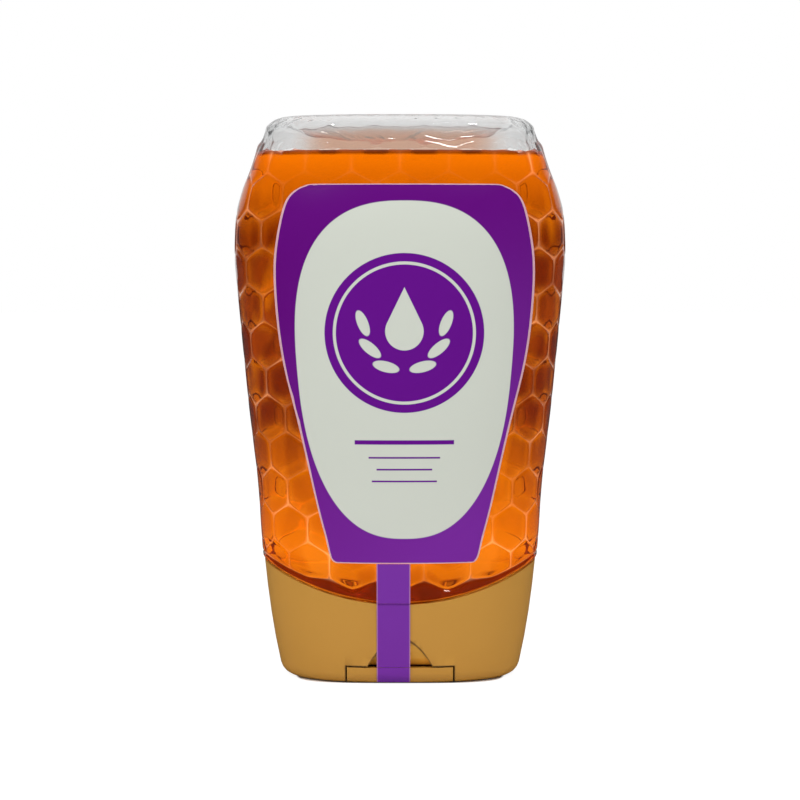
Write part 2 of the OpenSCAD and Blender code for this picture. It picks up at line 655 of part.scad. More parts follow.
// A thin sheet over the outline of the bottle or the cap, given by its heights and half widths
function on_body(x, z, out, on_cap) =
    let (inset = on_cap ? cap_inset + corner_in(z) : 0)
    let (a = half_w(z) - inset, b = half_w(z) * depth_ratio - inset)
    let (y = outline_y(a, b, x), slope = pow(abs(x) / a, outline_share - 1) * b / a)
    let (n = [sign(x) * slope, -pow(abs(y) / b, outline_share - 1), 0])
    [x, y, z] + n / norm(n) * out;
module sheet(shift, n_rows, n_columns, on_cap, heights, halves) {
    side = (n_rows + 1) * (n_columns + 1);
    points = [for (out = [film_gap, film_gap + film_t]) for (m = [0 : n_rows]) for (i = [0 : n_columns])
        on_body(shift + halves[m] * column_share(i, n_columns), heights[m], out, on_cap)];
    function id(s, m, i) = s * side + m * (n_columns + 1) + i;
    front = [for (m = [0 : n_rows - 1]) for (i = [0 : n_columns - 1]) each
        [[id(1, m, i), id(1, m + 1, i), id(1, m + 1, i + 1)],
         [id(1, m, i), id(1, m + 1, i + 1), id(1, m, i + 1)]]];
    back = [for (f = front) [f[2] - side, f[1] - side, f[0] - side]];
    loop = concat([for (i = [0 : n_columns - 1]) [0, i]], [for (m = [0 : n_rows - 1]) [m, n_columns]],
                  [for (i = [n_columns : -1 : 1]) [n_rows, i]], [for (m = [n_rows : -1 : 1]) [m, 0]]);
    rim = [for (e = [0 : len(loop) - 1])
        let (p = loop[e], q = loop[(e + 1) % len(loop)])
        each [[id(0, p[0], p[1]), id(1, p[0], p[1]), id(1, q[0], q[1])],
              [id(0, p[0], p[1]), id(1, q[0], q[1]), id(0, q[0], q[1])]]];
    polyhedron(points, concat(front, back, rim), convexity = 4);
}

module label() {
    color(purple) sheet(label_shift, label_rows, label_columns, false,
        [for (m = [0 : label_rows]) label_low_z + label_h * label_row_share(m)],
        [for (m = [0 : label_rows]) label_half_w * table_at(label_shares, label_row_share(m))]);
}

// The seal strip runs from the label to the lid and is slit where it crosses a seam
slit_gap = 0.1;
module strip(z0, z1, rows, on_cap) {
    color(purple) sheet(-strip_shift, rows, 2, on_cap,
        [for (m = [0 : rows]) z0 + (z1 - z0) * m / rows], [for (m = [0 : rows]) strip_w / 2]);
}
module seal_strip_bottle() {
    strip(edge_front_z + shoulder_gap / 2, label_low_z - slit_gap, 4, false);
}
module seal_strip_cap() {
    strip(pocket_h - lid_gap / 2 + slit_gap, edge_front_z + shoulder_gap / 2 - slit_gap, 6, true);
}
module seal_strip_lid() {
    strip(lid_lift + slit_gap, pocket_h - lid_gap / 2, 8, true);
}

bottle();
honey();
label();
seal_strip_bottle();
seal_strip_cap();
seal_strip_lid();
cap();
lid();
lid_hinge();
valve();
valve_retainer();
neck_washer();
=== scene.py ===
"""Honey squeeze bottle on a flip-top cap: looks, light and camera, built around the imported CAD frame."""

import math

import bmesh
import bpy
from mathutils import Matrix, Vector


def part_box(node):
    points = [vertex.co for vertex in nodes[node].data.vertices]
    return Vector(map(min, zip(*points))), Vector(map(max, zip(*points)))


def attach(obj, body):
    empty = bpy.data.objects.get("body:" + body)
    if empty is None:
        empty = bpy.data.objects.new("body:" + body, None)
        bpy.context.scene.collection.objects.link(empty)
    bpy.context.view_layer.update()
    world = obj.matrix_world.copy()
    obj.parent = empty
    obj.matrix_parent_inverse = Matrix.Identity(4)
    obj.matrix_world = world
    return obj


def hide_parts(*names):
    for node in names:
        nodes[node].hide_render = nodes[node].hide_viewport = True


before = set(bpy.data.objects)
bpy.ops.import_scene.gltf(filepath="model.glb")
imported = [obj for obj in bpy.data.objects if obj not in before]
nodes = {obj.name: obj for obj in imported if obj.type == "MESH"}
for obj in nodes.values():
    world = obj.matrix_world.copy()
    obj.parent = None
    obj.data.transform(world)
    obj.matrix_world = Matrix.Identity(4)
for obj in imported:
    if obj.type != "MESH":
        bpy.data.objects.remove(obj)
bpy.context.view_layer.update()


MM = 0.001

# Camera, from the photograph's eye level and framing
CAMERA_DISTANCE = 600 * MM
EYE_HEIGHT = 113 * MM
AIM_HEIGHT = 71.5 * MM
FRAME_WIDTH = 208.6 * MM
SENSOR = 36.0
NEAREST_SEEN = 0.01

# Light of the room: levels where 1 is white, and lamps as (place, size, watts) in metres
ROOM_LIGHT = 0.55
BACKDROP_REACH = (0.6, 0.25)
SIDE_LEVEL = 0.9
FRONT_LEVEL = 0.02
BEHIND_REACH = (0.8, 0.3)
BEHIND_LEVEL = 0.6
LAMPS = {
    "key_left": ((-0.45, -0.55, 0.72), (0.05, 0.06), 2.6),
    "fill_right": ((0.3, -0.5, 0.70), (0.38, 0.04), 2.0),
}

# Floor, which glows where the camera sees it, apart from the shadow under the cap
FLOOR_SIZE = 6.0
FLOOR_DROP = 0.05
FLOOR_GLOW = 1.25
FLOOR_SEEN = 0.72
FLOOR_MIRRORED = 0.9
CAP_FOOT_HALF_W = 27
CAP_FOOT_HALF_D = 16.7
CAP_FOOT_POWER = 4

# Heights and half widths of the bottle and its lattice, in millimetres
FILL_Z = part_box("honey")[1][2] / MM
TOP_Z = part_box("bottle")[1][2] / MM
LATTICE_TOP_Z = TOP_Z - 9
LATTICE_FOOT_Z = 20
TOP_ROW_Z = TOP_Z - 11.6
ROW_PITCH = 9.3636
BAND_Z = 124
BAND_HALF_W = 29
BORDER_TOP_Z = 126

# Mesh work on copies of the solids, in millimetres and degrees
WELD_REACH = 0.0005
GROOVE_FACE = 1.3
ANY_FACE = 99
JOIN_ANGLE = 30
LATTICE_ANGLE = 15
LATTICE_CREASE = 0.4
RIM_ANGLE = 60
GROOVE_LEFT = 0.5
GROOVE_REACH = 1.7
GROOVE_FOOT_Z = 25
GROOVE_TOP_Z = TOP_Z - 3
GROOVE_LEAST = 0.1
SMOOTH_FROM_Z = FILL_Z + 0.3
SMOOTH_TO_Z = TOP_Z - 3.5
SMOOTH_ROUNDS = 4
SMOOTH_SHARE = 0.7
LEVEL_FROM = 0.6
LEVEL_RISE = 0.3
WET_TO_Z = FILL_Z + 0.2
CELL_MIDDLE = 0.15
HONEY_GROWTH = 0.15
EDGE_ROUND = 0.2
MOULDING_ANGLE = 35
FILM_ANGLE = 50

# Plain design of the label, in millimetres and degrees
LABEL_SHIFT = 1.1
LABEL_EDGE = 0.25
PANEL_Z = 80.5
PANEL_HALF_W = 27.0
PANEL_HALF_H = 42.5
PANEL_TAPER = 0.13
PANEL_POWER = 2.5
PANEL_SOFTNESS = 0.012
MEDAL_Z = 90.0
MEDAL_R = 20.0
RING_R = 17.9
RING_W = 0.75
DROP_Z = 90.5
DROP_R = 4.8
DROP_H = 11.0
LEAVES = ((10.4, 92.5, 68), (8.6, 86.2, 40), (4.6, 81.6, 14))
LEAF_HALF_L = 3.4
LEAF_HALF_W = 1.35
RULES = ((62.5, 12.5, 0.55), (58.6, 9.0, 0.22), (55.6, 7.0, 0.22), (52.6, 8.2, 0.22))
# Painted light on the purple ground, from the top left towards the lower right: where it starts and its
# spread.
DRIFT_TOP_Z = 110
DRIFT_H = 80
DRIFT_W = 120
STRIP_SHIFT = -1.65
STRIP_HALF_W = 4.25
PRINT_SOFTNESS = 0.12

# Wavy edge of the cap, in millimetres
EDGE_FRONT_Z = 20.9
EDGE_RISE = 9.4
EDGE_HALF_W = 35.0
EDGE_POWER = 2.1

# Thumb scoop of the cap, in millimetres
SCOOP_HALF_W = 8.3
SCOOP_H = 7.3
SCOOP_Z = 4.7
POCKET_HALF_W = 13.9

# Soft edges of the colours, each (place, width) in millimetres
EMPTY_FROM = (FILL_Z, 1.0)
# Painted reflection of the honey in the middle of the wall above it: its side and top edges.
REFLECTION_SIDE = (23, 9)
REFLECTION_TOP = (TOP_Z - 4.5, 3)
# Painted shadow on the wall just above the wavy edge of the cap: its lower and upper edges.
GAP_BOTTOM = (-0.3, 0.4)
GAP_TOP = (0.7, 0.4)
CALM_FROM = (123, 5)
CALM_SIDE = (30, 6)
# Painted shade in the honey: the middle band and the foot by the cap.
SHADE_TOP = (124, 20)
SHADE_BOTTOM = (48, 42)
FOOT_SHADE_TOP = (29, 12)
STREAK_TOP = (128, 4)
# Painted shade: a dark line on the honey's side, within a millimetre under the fill level.
FILL_SHADE_FROM = (FILL_Z - 1.0, 0.5)
CAP_FRONT = (-10, 1)
# Edges of the painted light in the scoop, and of the painted shade lines round it and round the pocket.
SCOOP_INSIDE = (0, 0.2)
SCOOP_ROOF = (SCOOP_Z, 0.2)
SCOOP_SHADE_LINE = (0.35, 0.3)
POCKET_SHADE_LINE = (0.2, 0.2)

# Plastic and honey: how much light bends, and where noise lets the painted groove highlights and painted
# light streaks show
WALL_BEND = 1.16
HONEY_BEND = 1.02
HONEY_TOP_BEND = 1.49
GROOVE_POWER = 4
BORDER_POWER = 7
# Noise that breaks up the painted groove highlights.
CATCHING = (0.52, 0.22)
# Noise for the painted light streaks in the honey, which are stretched upright.
STREAKING = (0.63, 0.12)
STREAK_STRETCH = (1, 1, 0.35)


def rgba(red, green, blue):
    return (red, green, blue, 1.0)


WHITE = rgba(1, 1, 1)
BLACK = rgba(0.0, 0.0, 0.0)
FLOOR_GREY = rgba(0.9, 0.9, 0.9)
CLEAR = rgba(0.985, 0.988, 0.985)
# Painted shade: grey that dims the empty clear wall above the honey.
CLEAR_GREY_SHADE = rgba(0.73, 0.74, 0.74)
# Painted reflection of the honey, on the wall above it.
HONEY_REFLECTION_BROWN = rgba(0.67, 0.50, 0.40)
# Painted shadow where the bottle meets the cap.
GAP_SHADOW_BROWN = rgba(0.16, 0.06, 0.02)
# Painted light: a faint glow on the wall above the honey.
PAINTED_WALL_GLOW = rgba(0.052, 0.052, 0.052)
# Painted highlight along the grooves of the wall.
PAINTED_GROOVE_HIGHLIGHT = rgba(0.46, 0.23, 0.12)
HONEY_BRIGHT = rgba(0.84, 0.18, 0.0)
# Painted shade of the honey, low in its middle.
HONEY_SHADED = rgba(0.14, 0.012, 0.0)
# Painted highlight along the borders of the cells in the honey.
HONEY_BORDER_HIGHLIGHT = rgba(0.92, 0.26, 0.01)
# Painted light streaks in the honey.
HONEY_LIGHT_STREAK = rgba(0.90, 0.22, 0.0)
# Painted light: glow of the honey, and its dimmer glow where it is shaded.
HONEY_GLOW = rgba(0.09, 0.014, 0.0)
HONEY_GLOW_SHADED = rgba(0.045, 0.005, 0.0)
# Painted shade line at the honey's fill level.
FILL_SHADE_LINE = rgba(0.10, 0.016, 0.0)
PURPLE = rgba(0.118, 0.0, 0.195)
# Painted light: lighter purple towards the lower right of the label.
PURPLE_PAINTED_LIT = rgba(0.185, 0.020, 0.330)
MEDAL_PURPLE = rgba(0.125, 0.002, 0.250)
STRIP_PURPLE = rgba(0.190, 0.032, 0.370)
CREAM = rgba(0.615, 0.645, 0.575)
EDGE_PINK = rgba(0.62, 0.34, 0.42)
EDGE_PINK_LIGHT = rgba(0.7, 0.45, 0.5)
FILM_WHITE = rgba(0.86, 0.86, 0.84)
GOLD = rgba(0.61, 0.295, 0.038)
GOLD_LIGHT = rgba(0.66, 0.325, 0.046)
# Painted light: brighter gold inside the thumb scoop.
GOLD_PAINTED_LIT = rgba(0.98, 0.50, 0.06)
# Painted shade lines round the scoop and the pocket.
GOLD_SHADE_LINE = rgba(0.12, 0.05, 0.008)
SILICONE = rgba(0.80, 0.80, 0.76)
RETAINER_WHITE = rgba(0.78, 0.78, 0.74)
FOAM = rgba(0.82, 0.82, 0.80)


class Value:
    """One number socket of a node tree, so that shader maths reads as Python."""

    def __init__(self, tree, socket):
        self.tree = tree
        self.socket = socket

    def math(self, operation, *others):
        return self.tree.make("ShaderNodeMath", {"operation": operation}, (self, *others))

    def __add__(self, other):
        return self.math("ADD", other)

    __radd__ = __add__

    def __sub__(self, other):
        return self.math("SUBTRACT", other)

    def __rsub__(self, other):
        return (self * -1) + other

    def __mul__(self, other):
        return self.math("MULTIPLY", other)

    __rmul__ = __mul__

    def __truediv__(self, other):
        return self.math("DIVIDE", other)

    def __abs__(self):
        return self.math("ABSOLUTE")

    def __pow__(self, other):
        return self.math("POWER", other)

    def least(self, other):
        return self.math("MINIMUM", other)

    def most(self, other):
        return self.math("MAXIMUM", other)

    def within(self):
        return self.most(0).least(1)

    def past(self, edge, soft=PRINT_SOFTNESS):
        """Goes from 0 to 1 as the value passes the edge, over a soft width."""
        return ((self - edge) / soft + 0.5).within()

    def before(self, edge, soft=PRINT_SOFTNESS):
        """Goes from 1 to 0 as the value passes the edge."""
        return 1 - self.past(edge, soft)


class Tree:
    """A node tree, with one way to add a node to it."""

    def __init__(self, tree):
        self.tree = tree

    def make(self, kind, settings, sockets, output=0):
        node = self.tree.nodes.new(kind)
        for name, value in settings.items():
            setattr(node, name, value)
        pairs = sockets.items() if isinstance(sockets, dict) else enumerate(sockets)
        for key, value in pairs:
            if isinstance(value, Value):
                self.tree.links.new(value.socket, node.inputs[key])
            else:
                node.inputs[key].default_value = value
        return Value(self, node.outputs[output])

    def split(self, vector, scale=1.0):
        parts = self.tree.nodes.new("ShaderNodeSeparateXYZ")
        self.tree.links.new(vector.socket, parts.inputs[0])
        return [Value(self, part) * scale for part in parts.outputs]

    def mix(self, factor, first, second):
        sockets = {0: factor, 6: first, 7: second}
        return self.make("ShaderNodeMix", {"data_type": "RGBA"}, sockets, 2)

    def rays(self, *kinds):
        """For each kind, such as Camera, a value that is 1 on such rays and 0 on others."""
        path = self.tree.nodes.new("ShaderNodeLightPath")
        return [Value(self, path.outputs[f"Is {kind} Ray"]) for kind in kinds]


class Finish(Tree):
    """A material with one main shader."""

    def __init__(self, name, **settings):
        self.material = bpy.data.materials.new(name)
        self.material.use_nodes = True
        super().__init__(self.material.node_tree)
        self.shader = self.tree.nodes["Principled BSDF"]
        for socket, value in settings.items():
            self.shader.inputs[socket.replace("_", " ")].default_value = value

    def link(self, socket, value):
        self.tree.links.new(value.socket, self.shader.inputs[socket])

    def coords(self):
        return self.make("ShaderNodeTexCoord", {}, {}, "Object")

    def place(self):
        """Object coordinates in millimetres."""
        return self.split(self.coords(), 1 / MM)

    def mark(self, name):
        """A number that the mesh carries on its vertices."""
        return self.make("ShaderNodeAttribute", {"attribute_name": name}, {}, "Fac")

    def noise(self, size, detail=2.0, rough=0.5, stretch=(1, 1, 1)):
        """Noise whose spots are about the given size in millimetres."""
        place = self.make("ShaderNodeVectorMath", {"operation": "MULTIPLY"}, (self.coords(), stretch))
        sockets = {"Vector": place, "Scale": 1 / (size * MM), "Detail": detail, "Roughness": rough}
        return self.make("ShaderNodeTexNoise", {}, sockets)

    def bump(self, height, depth, strength=1.0):
        sockets = {"Height": height, "Distance": depth * MM, "Strength": strength}
        self.link("Normal", self.make("ShaderNodeBump", {}, sockets))


# Materials

def clear_plastic():
    """Wall of the bottle: above the honey a painted grey shade, with a painted reflection of the honey in
    its middle; a painted shadow along the edge of the cap; a painted glow above the honey and painted
    highlights along the grooves.
    """
    f = Finish("clear_bottle_plastic", Roughness=0.0, Transmission_Weight=1.0, IOR=WALL_BEND,
               Coat_Weight=0.9, Coat_Roughness=0.03, Emission_Strength=1.0)
    x, y, height = f.place()
    empty = height.past(*EMPTY_FROM) * (1 - f.mark("level"))
    # Painted reflection of the honey, in the middle of the wall above it.
    honey_reflection = abs(x).before(*REFLECTION_SIDE) * height.before(*REFLECTION_TOP)
    above_cap = height - (abs(x / EDGE_HALF_W) ** EDGE_POWER * EDGE_RISE + EDGE_FRONT_Z)
    # Painted shadow: a dark band on the wall just above the cap's edge.
    gap = above_cap.past(*GAP_BOTTOM) * above_cap.before(*GAP_TOP)
    # Above the honey the wall gets a painted grey shade, and a painted reflection of the honey in its
    # middle.
    colour = f.mix(empty, CLEAR, f.mix(honey_reflection, CLEAR_GREY_SHADE, HONEY_REFLECTION_BROWN))
    f.link("Base Color", f.mix(gap, colour, GAP_SHADOW_BROWN))
    # Painted highlights along the bottoms of the grooves: fainter in the band over the label, and broken
    # up by noise.
    calm = height.past(*CALM_FROM) * abs(x).before(*CALM_SIDE)
    catching = f.noise(11, 0.0).past(*CATCHING) * 0.8 + 0.2
    groove = f.mark("groove") ** GROOVE_POWER * catching * (1 - calm * 0.9)
    # Painted light: a glow on the wall above the honey, and painted highlights along the grooves below it.
    f.link("Emission Color", f.mix(empty, f.mix(groove, BLACK, PAINTED_GROOVE_HIGHLIGHT), PAINTED_WALL_GLOW))
    return f.material


def wetted_plastic():
    """Inside of the wall where honey wets it, which neither bends nor mirrors light."""
    return Finish("wetted_bottle_plastic", Roughness=0.0, Alpha=0.0).material


def amber_honey(name, refraction, fill_shade_line):
    """Honey with a painted glow, painted shade low in its middle and by the cap, painted light streaks,
    painted highlights along the borders of the cells, and a painted shade line at the fill level.
    """
    f = Finish(name, Roughness=0.0, Transmission_Weight=1.0, IOR=refraction, Emission_Strength=1.0)
    height = f.place()[2]
    # Painted shade: darker in the middle band and by the cap.
    painted_shade = (height.before(*SHADE_TOP) * height.past(*SHADE_BOTTOM)).most(height.before(*FOOT_SHADE_TOP) * 0.6)
    # Painted light: bright streaks in the honey, below the top band.
    light_streak = f.noise(7, 0.0, 0.5, STREAK_STRETCH).past(*STREAKING) * height.before(*STREAK_TOP)
    # Painted highlights along the borders of the cells.
    border = f.mark("border") ** BORDER_POWER
    glow = f.mix(painted_shade, HONEY_BRIGHT, HONEY_SHADED)
    colour = f.mix(light_streak * 0.4, f.mix(border * 0.5, glow, HONEY_BORDER_HIGHLIGHT), HONEY_LIGHT_STREAK)
    # Painted shade: a dark line at the fill level, on the side only.
    f.link("Base Color", f.mix(height.past(*FILL_SHADE_FROM) * fill_shade_line, colour, FILL_SHADE_LINE))
    # Painted light: the honey glows, less in its painted shade.
    f.link("Emission Color", f.mix(painted_shade, HONEY_GLOW, HONEY_GLOW_SHADED))
    return f.material


def gold_plastic():
    """Satin gold of the cap and the lid, with painted light in the thumb scoop and painted shade lines
    round the scoop and the lid's pocket.
    """
    f = Finish("gold_satin_plastic", Metallic=0.08, Coat_Weight=0.1, Coat_Roughness=0.35)
    x, y, z = f.place()
    below_arch = (1 - (x / SCOOP_HALF_W) ** 2) * SCOOP_H + SCOOP_Z - z
    over_pocket = z.past(*SCOOP_ROOF)
    front = y.before(*CAP_FRONT)
    # Painted light: the inside of the thumb scoop, on the front, is brightened.
    inside = below_arch.past(*SCOOP_INSIDE) * over_pocket * front
    # Painted shade: dark lines along the arch of the scoop and round the lid's pocket, on the front.
    arch_shade_line = abs(below_arch).before(*SCOOP_SHADE_LINE) * over_pocket * front
    pocket = (abs(x) - POCKET_HALF_W).most(z - SCOOP_Z)
    line = arch_shade_line.most(abs(pocket).before(*POCKET_SHADE_LINE) * front)
    colour = f.mix(inside, f.mix(f.noise(22, 2.0), GOLD, GOLD_LIGHT), GOLD_PAINTED_LIT)
    f.link("Base Color", f.mix(line * 0.8, colour, GOLD_SHADE_LINE))
    f.link("Roughness", f.noise(3, 3.0) * 0.1 + 0.4)
    f.bump(f.noise(0.4, 2.0, 0.7), 0.012, 0.5)
    return f.material


def plain_finish(name, colour, roughness, grain=0.4, grain_depth=0.01):
    """Moulded plastic, rubber, foam or the back of the film, with a slight drift and grain."""
    f = Finish(name)
    shade = rgba(*[part * 0.86 for part in colour[:3]])
    f.link("Base Color", f.mix(f.noise(5, 3.0), colour, shade))
    f.link("Roughness", f.noise(2, 2.0) * 0.12 + roughness)
    f.bump(f.noise(grain, 2.0), grain_depth, 0.6)
    return f.material


def oval(x, z, middle_x, middle_z, half_x, half_z, turn=0.0):
    """Mask of a turned oval, 1 inside it."""
    c, s = math.cos(math.radians(turn)), math.sin(math.radians(turn))
    u = (x - middle_x) * c + (z - middle_z) * s
    v = (z - middle_z) * c - (x - middle_x) * s
    reach = ((u / half_x) ** 2 + (v / half_z) ** 2) ** 0.5
    return reach.before(1.0, PRINT_SOFTNESS / min(half_x, half_z))


def bar(x, z, middle_z, half_x, half_z):
    return abs(x).before(half_x) * abs(z - middle_z).before(half_z)


def panel_mask(x, z):
    v = (z - PANEL_Z) / PANEL_HALF_H
    half = (v * PANEL_TAPER + 1) * PANEL_HALF_W
    reach = (abs(x) / half) ** PANEL_POWER + abs(v) ** PANEL_POWER
    return reach.before(1.0, PANEL_SOFTNESS)


def motif_mask(x, z):
    """A drop over three pairs of leaves, its point tangent to its round end."""
    lean = math.asin(DROP_R / DROP_H)
    slope = abs(x) * math.cos(lean) + (z - DROP_Z - DROP_H) * math.sin(lean)
    tip = slope.before(0) * z.past(DROP_Z + DROP_R * math.sin(lean))
    mask = oval(x, z, 0, DROP_Z, DROP_R, DROP_R).most(tip)
    for side in (-1, 1):
        for place, height, tilt in LEAVES:
            leaf = oval(x, z, side * place, height, LEAF_HALF_L, LEAF_HALF_W, side * tilt)
            mask = mask.most(leaf)
    return mask


def ring_mask(x, z):
    inner = RING_R - RING_W
    return oval(x, z, 0, MEDAL_Z, RING_R, RING_R) * (1 - oval(x, z, 0, MEDAL_Z, inner, inner))


def rules_mask(x, z):
    mask = bar(x, z, *RULES[0])
    for rule in RULES[1:]:
        mask = mask.most(bar(x, z, *rule))
    return mask


class Print(Finish):
    """Printed film with a soft sheen and slight waves."""

    def __init__(self, name):
        super().__init__(name, Specular_IOR_Level=0.1)
        self.x, self.y, self.z = self.place()
        self.link("Roughness", self.noise(7, 2.0) * 0.08 + 0.35)
        self.bump(self.noise(11, 1.0), 0.03, 1.0)


def label_print():
    """Purple ground, a cream panel, a medallion with a motif, and plain rules."""
    f = Print("label_print")
    x, z = f.x - LABEL_SHIFT, f.z
    # Painted light: the purple lightens from the top left to the lower right; the noise adds tone that
    # differs at random.
    drift = (DRIFT_TOP_Z - z) / DRIFT_H + x / DRIFT_W + f.noise(30, 1.0) * 0.25 - 0.12
    colour = f.mix(drift.within(), PURPLE, PURPLE_PAINTED_LIT)
    colour = f.mix(panel_mask(x, z), colour, CREAM)
    colour = f.mix(oval(x, z, 0, MEDAL_Z, MEDAL_R, MEDAL_R), colour, MEDAL_PURPLE)
    colour = f.mix(ring_mask(x, z).most(motif_mask(x, z)), colour, CREAM)
    f.link("Base Color", f.mix(rules_mask(x, z), colour, MEDAL_PURPLE))
    return f.material


def strip_print():
    """Purple strip with a pale line along each side."""
    f = Print("strip_print")
    side = abs(f.x - STRIP_SHIFT).past(STRIP_HALF_W - LABEL_EDGE)
    f.link("Base Color", f.mix(side * 0.5, STRIP_PURPLE, EDGE_PINK))
    return f.material


def film_edge():
    f = Finish("film_cut_edge", Roughness=0.4)
    f.link("Base Color", f.mix(f.noise(3, 1.0), EDGE_PINK, EDGE_PINK_LIGHT))
    return f.material


# Pieces made from merged copies of the CAD solids, softened and smoothed

def edit(piece, change, *values):
    bm = bmesh.new()
    bm.from_mesh(piece.data)
    change(bm, *values)
    bm.to_mesh(piece.data)
    bm.free()


def weld(bm):
    bmesh.ops.remove_doubles(bm, verts=bm.verts, dist=WELD_REACH * MM)


def merged(node, name):
    mesh = nodes[node].data.copy()
    mesh.name = name
    mesh.materials.clear()
    piece = bpy.data.objects.new(name, mesh)
    bpy.context.scene.collection.objects.link(piece)
    edit(piece, weld)
    return piece


def finish_piece(piece, body, materials, node):
    for material in materials:
        piece.data.materials.append(material)
    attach(piece, body)
    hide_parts(node)


def subdivide(piece, levels=2):
    mod = piece.modifiers.new("smooth", "SUBSURF")
    mod.levels = levels
    mod.render_levels = levels


def soften(piece, width, angle, segments=2):
    mod = piece.modifiers.new("edges", "BEVEL")
    mod.width = width * MM
    mod.segments = segments
    mod.limit_method = "ANGLE"
    mod.angle_limit = math.radians(angle)


def smooth_faces(piece, sharp_angle=None):
    for face in piece.data.polygons:
        face.use_smooth = True
    if sharp_angle is not None:
        piece.data.set_sharp_from_angle(angle=math.radians(sharp_angle))


def join_groove_quads(bm, short):
    """Joins the pairs of triangles along grooves and rings, and leaves the fans of the cells."""
    narrow = [f for f in bm.faces if min(e.calc_length() for e in f.edges) < short * MM]
    flat = math.radians(JOIN_ANGLE)
    bmesh.ops.join_triangles(bm, faces=narrow, angle_face_threshold=flat, angle_shape_threshold=flat * 2)


def outward(face):
    middle = face.calc_center_median()
    return face.normal.x * middle.x + face.normal.y * middle.y > 0


def crease_lattice(bm):
    """Keeps the outer edges of the cells a little sharp."""
    layer = bm.edges.layers.float.new("crease_edge")
    bm.normal_update()
    for edge in bm.edges:
        if len(edge.link_faces) != 2 or edge.calc_face_angle(0) < math.radians(LATTICE_ANGLE):
            continue
        heights = [v.co.z / MM for v in edge.verts]
        in_lattice = max(heights) < LATTICE_TOP_Z and min(heights) > LATTICE_FOOT_Z
        if in_lattice and all(outward(f) for f in edge.link_faces):
            edge[layer] = LATTICE_CREASE


def crease_rims(bm):
    """Keeps rims quite sharp."""
    layer = bm.edges.layers.float.new("crease_edge")
    bm.normal_update()
    for edge in bm.edges:
        if len(edge.link_faces) == 2 and edge.calc_face_angle(0) > math.radians(RIM_ANGLE):
            edge[layer] = 1.0


def calm_grooves(bm):
    """Lifts and marks the bottoms of the grooves, and fills them in the band over the label."""
    bm.normal_update()
    layer = bm.verts.layers.float.new("groove")
    moves = []
    for vert in bm.verts:
        near = [e.other_vert(vert).co for e in vert.link_edges if e.calc_length() < GROOVE_REACH * MM]
        if len(near) > 1 and GROOVE_FOOT_Z * MM < vert.co.z < GROOVE_TOP_Z * MM:
            lift = (sum(near, Vector()) / len(near) - vert.co).dot(vert.normal)
            if lift > GROOVE_LEAST * MM:
                band = vert.co.z > BAND_Z * MM and abs(vert.co.x) < BAND_HALF_W * MM
                moves.append((vert, vert.normal * lift * (1 if band else 1 - GROOVE_LEFT)))
                vert[layer] = 1.0
    for vert, move in moves:
        vert.co += move


def flatten_top(bm):
    """The lattice fades out above the honey."""
    low, high = SMOOTH_FROM_Z * MM, SMOOTH_TO_Z * MM
    for _ in range(SMOOTH_ROUNDS):
        verts = [v for v in bm.verts if low < v.co.z < high and v.link_faces and outward(v.link_faces[0])]
        bmesh.ops.smooth_vert(
            bm, verts=verts, factor=SMOOTH_SHARE, use_axis_x=True, use_axis_y=True, use_axis_z=False)


def mark_level(bm):
    """1 where the wall lies level, as in the hollow at the top, and 0 where it stands."""
    layer = bm.verts.layers.float.new("level")
    bm.normal_update()
    for vert in bm.verts:
        vert[layer] = min(1.0, max(0.0, (abs(vert.normal.z) - LEVEL_FROM) / LEVEL_RISE))


def mark_wet(bm):
    """The second material goes on the inside of the wall, up to the honey's level."""
    bm.normal_update()
    for face in bm.faces:
        middle = face.calc_center_median()
        if middle.z < WET_TO_Z * MM and not outward(face):
            face.material_index = 1


def make_bottle():
    piece = merged("bottle", "bottle_shell")
    edit(piece, join_groove_quads, GROOVE_FACE)
    for change in (crease_lattice, calm_grooves, flatten_top, mark_level, mark_wet):
        edit(piece, change)
    smooth_faces(piece)
    subdivide(piece)
    finish_piece(piece, "bottle_body", [clear_plastic(), wetted_plastic()], "bottle")


def mark_borders(bm):
    """1 on the corners of the cells and 0 in their middles; the level top gets the second material."""
    layer = bm.verts.layers.float.new("border")
    for vert in bm.verts:
        rows = (vert.co.z / MM - TOP_ROW_Z) / ROW_PITCH
        middle = abs(rows - round(rows)) < CELL_MIDDLE or vert.co.z > BORDER_TOP_Z * MM
        vert[layer] = 0.0 if middle else 1.0
    bm.normal_update()
    for face in bm.faces:
        if face.normal.z > 0.9 and face.calc_center_median().z > (FILL_Z - 1) * MM:
            face.material_index = 1


def grow(bm):
    """The honey reaches a little into the wall, so that no air shows between them."""
    bm.normal_update()
    moves = [(v, v.normal * (HONEY_GROWTH * MM)) for v in bm.verts]
    for vert, move in moves:
        vert.co += move


def make_honey():
    piece = merged("honey", "honey_fill")
    for change in (mark_borders, crease_rims, grow):
        edit(piece, change)
    smooth_faces(piece)
    subdivide(piece)
    side = amber_honey("amber_honey", HONEY_BEND, 1)
    top = amber_honey("honey_surface", HONEY_TOP_BEND, 0)
    finish_piece(piece, "bottle_body", [side, top], "honey")


def make_moulding(node, name, body, material):
    piece = merged(node, name)
    soften(piece, EDGE_ROUND, MOULDING_ANGLE)
    smooth_faces(piece, MOULDING_ANGLE)
    finish_piece(piece, body, [material], node)


def inset_edge(bm):
    """The third material goes on a narrow border of the printed side."""
    bm.normal_update()
    front = [f for f in bm.faces if f.normal.y < -0.2 and outward(f)]
    ring = bmesh.ops.inset_region(
        bm, faces=front, thickness=LABEL_EDGE * MM, depth=0, use_even_offset=True)
    for face in ring["faces"]:
        face.material_index = 2


def mark_back(bm):
    """The second material goes on the glued side."""
    bm.normal_update()
    for face in bm.faces:
        if face.normal.y > 0.2:
            face.material_index = 1


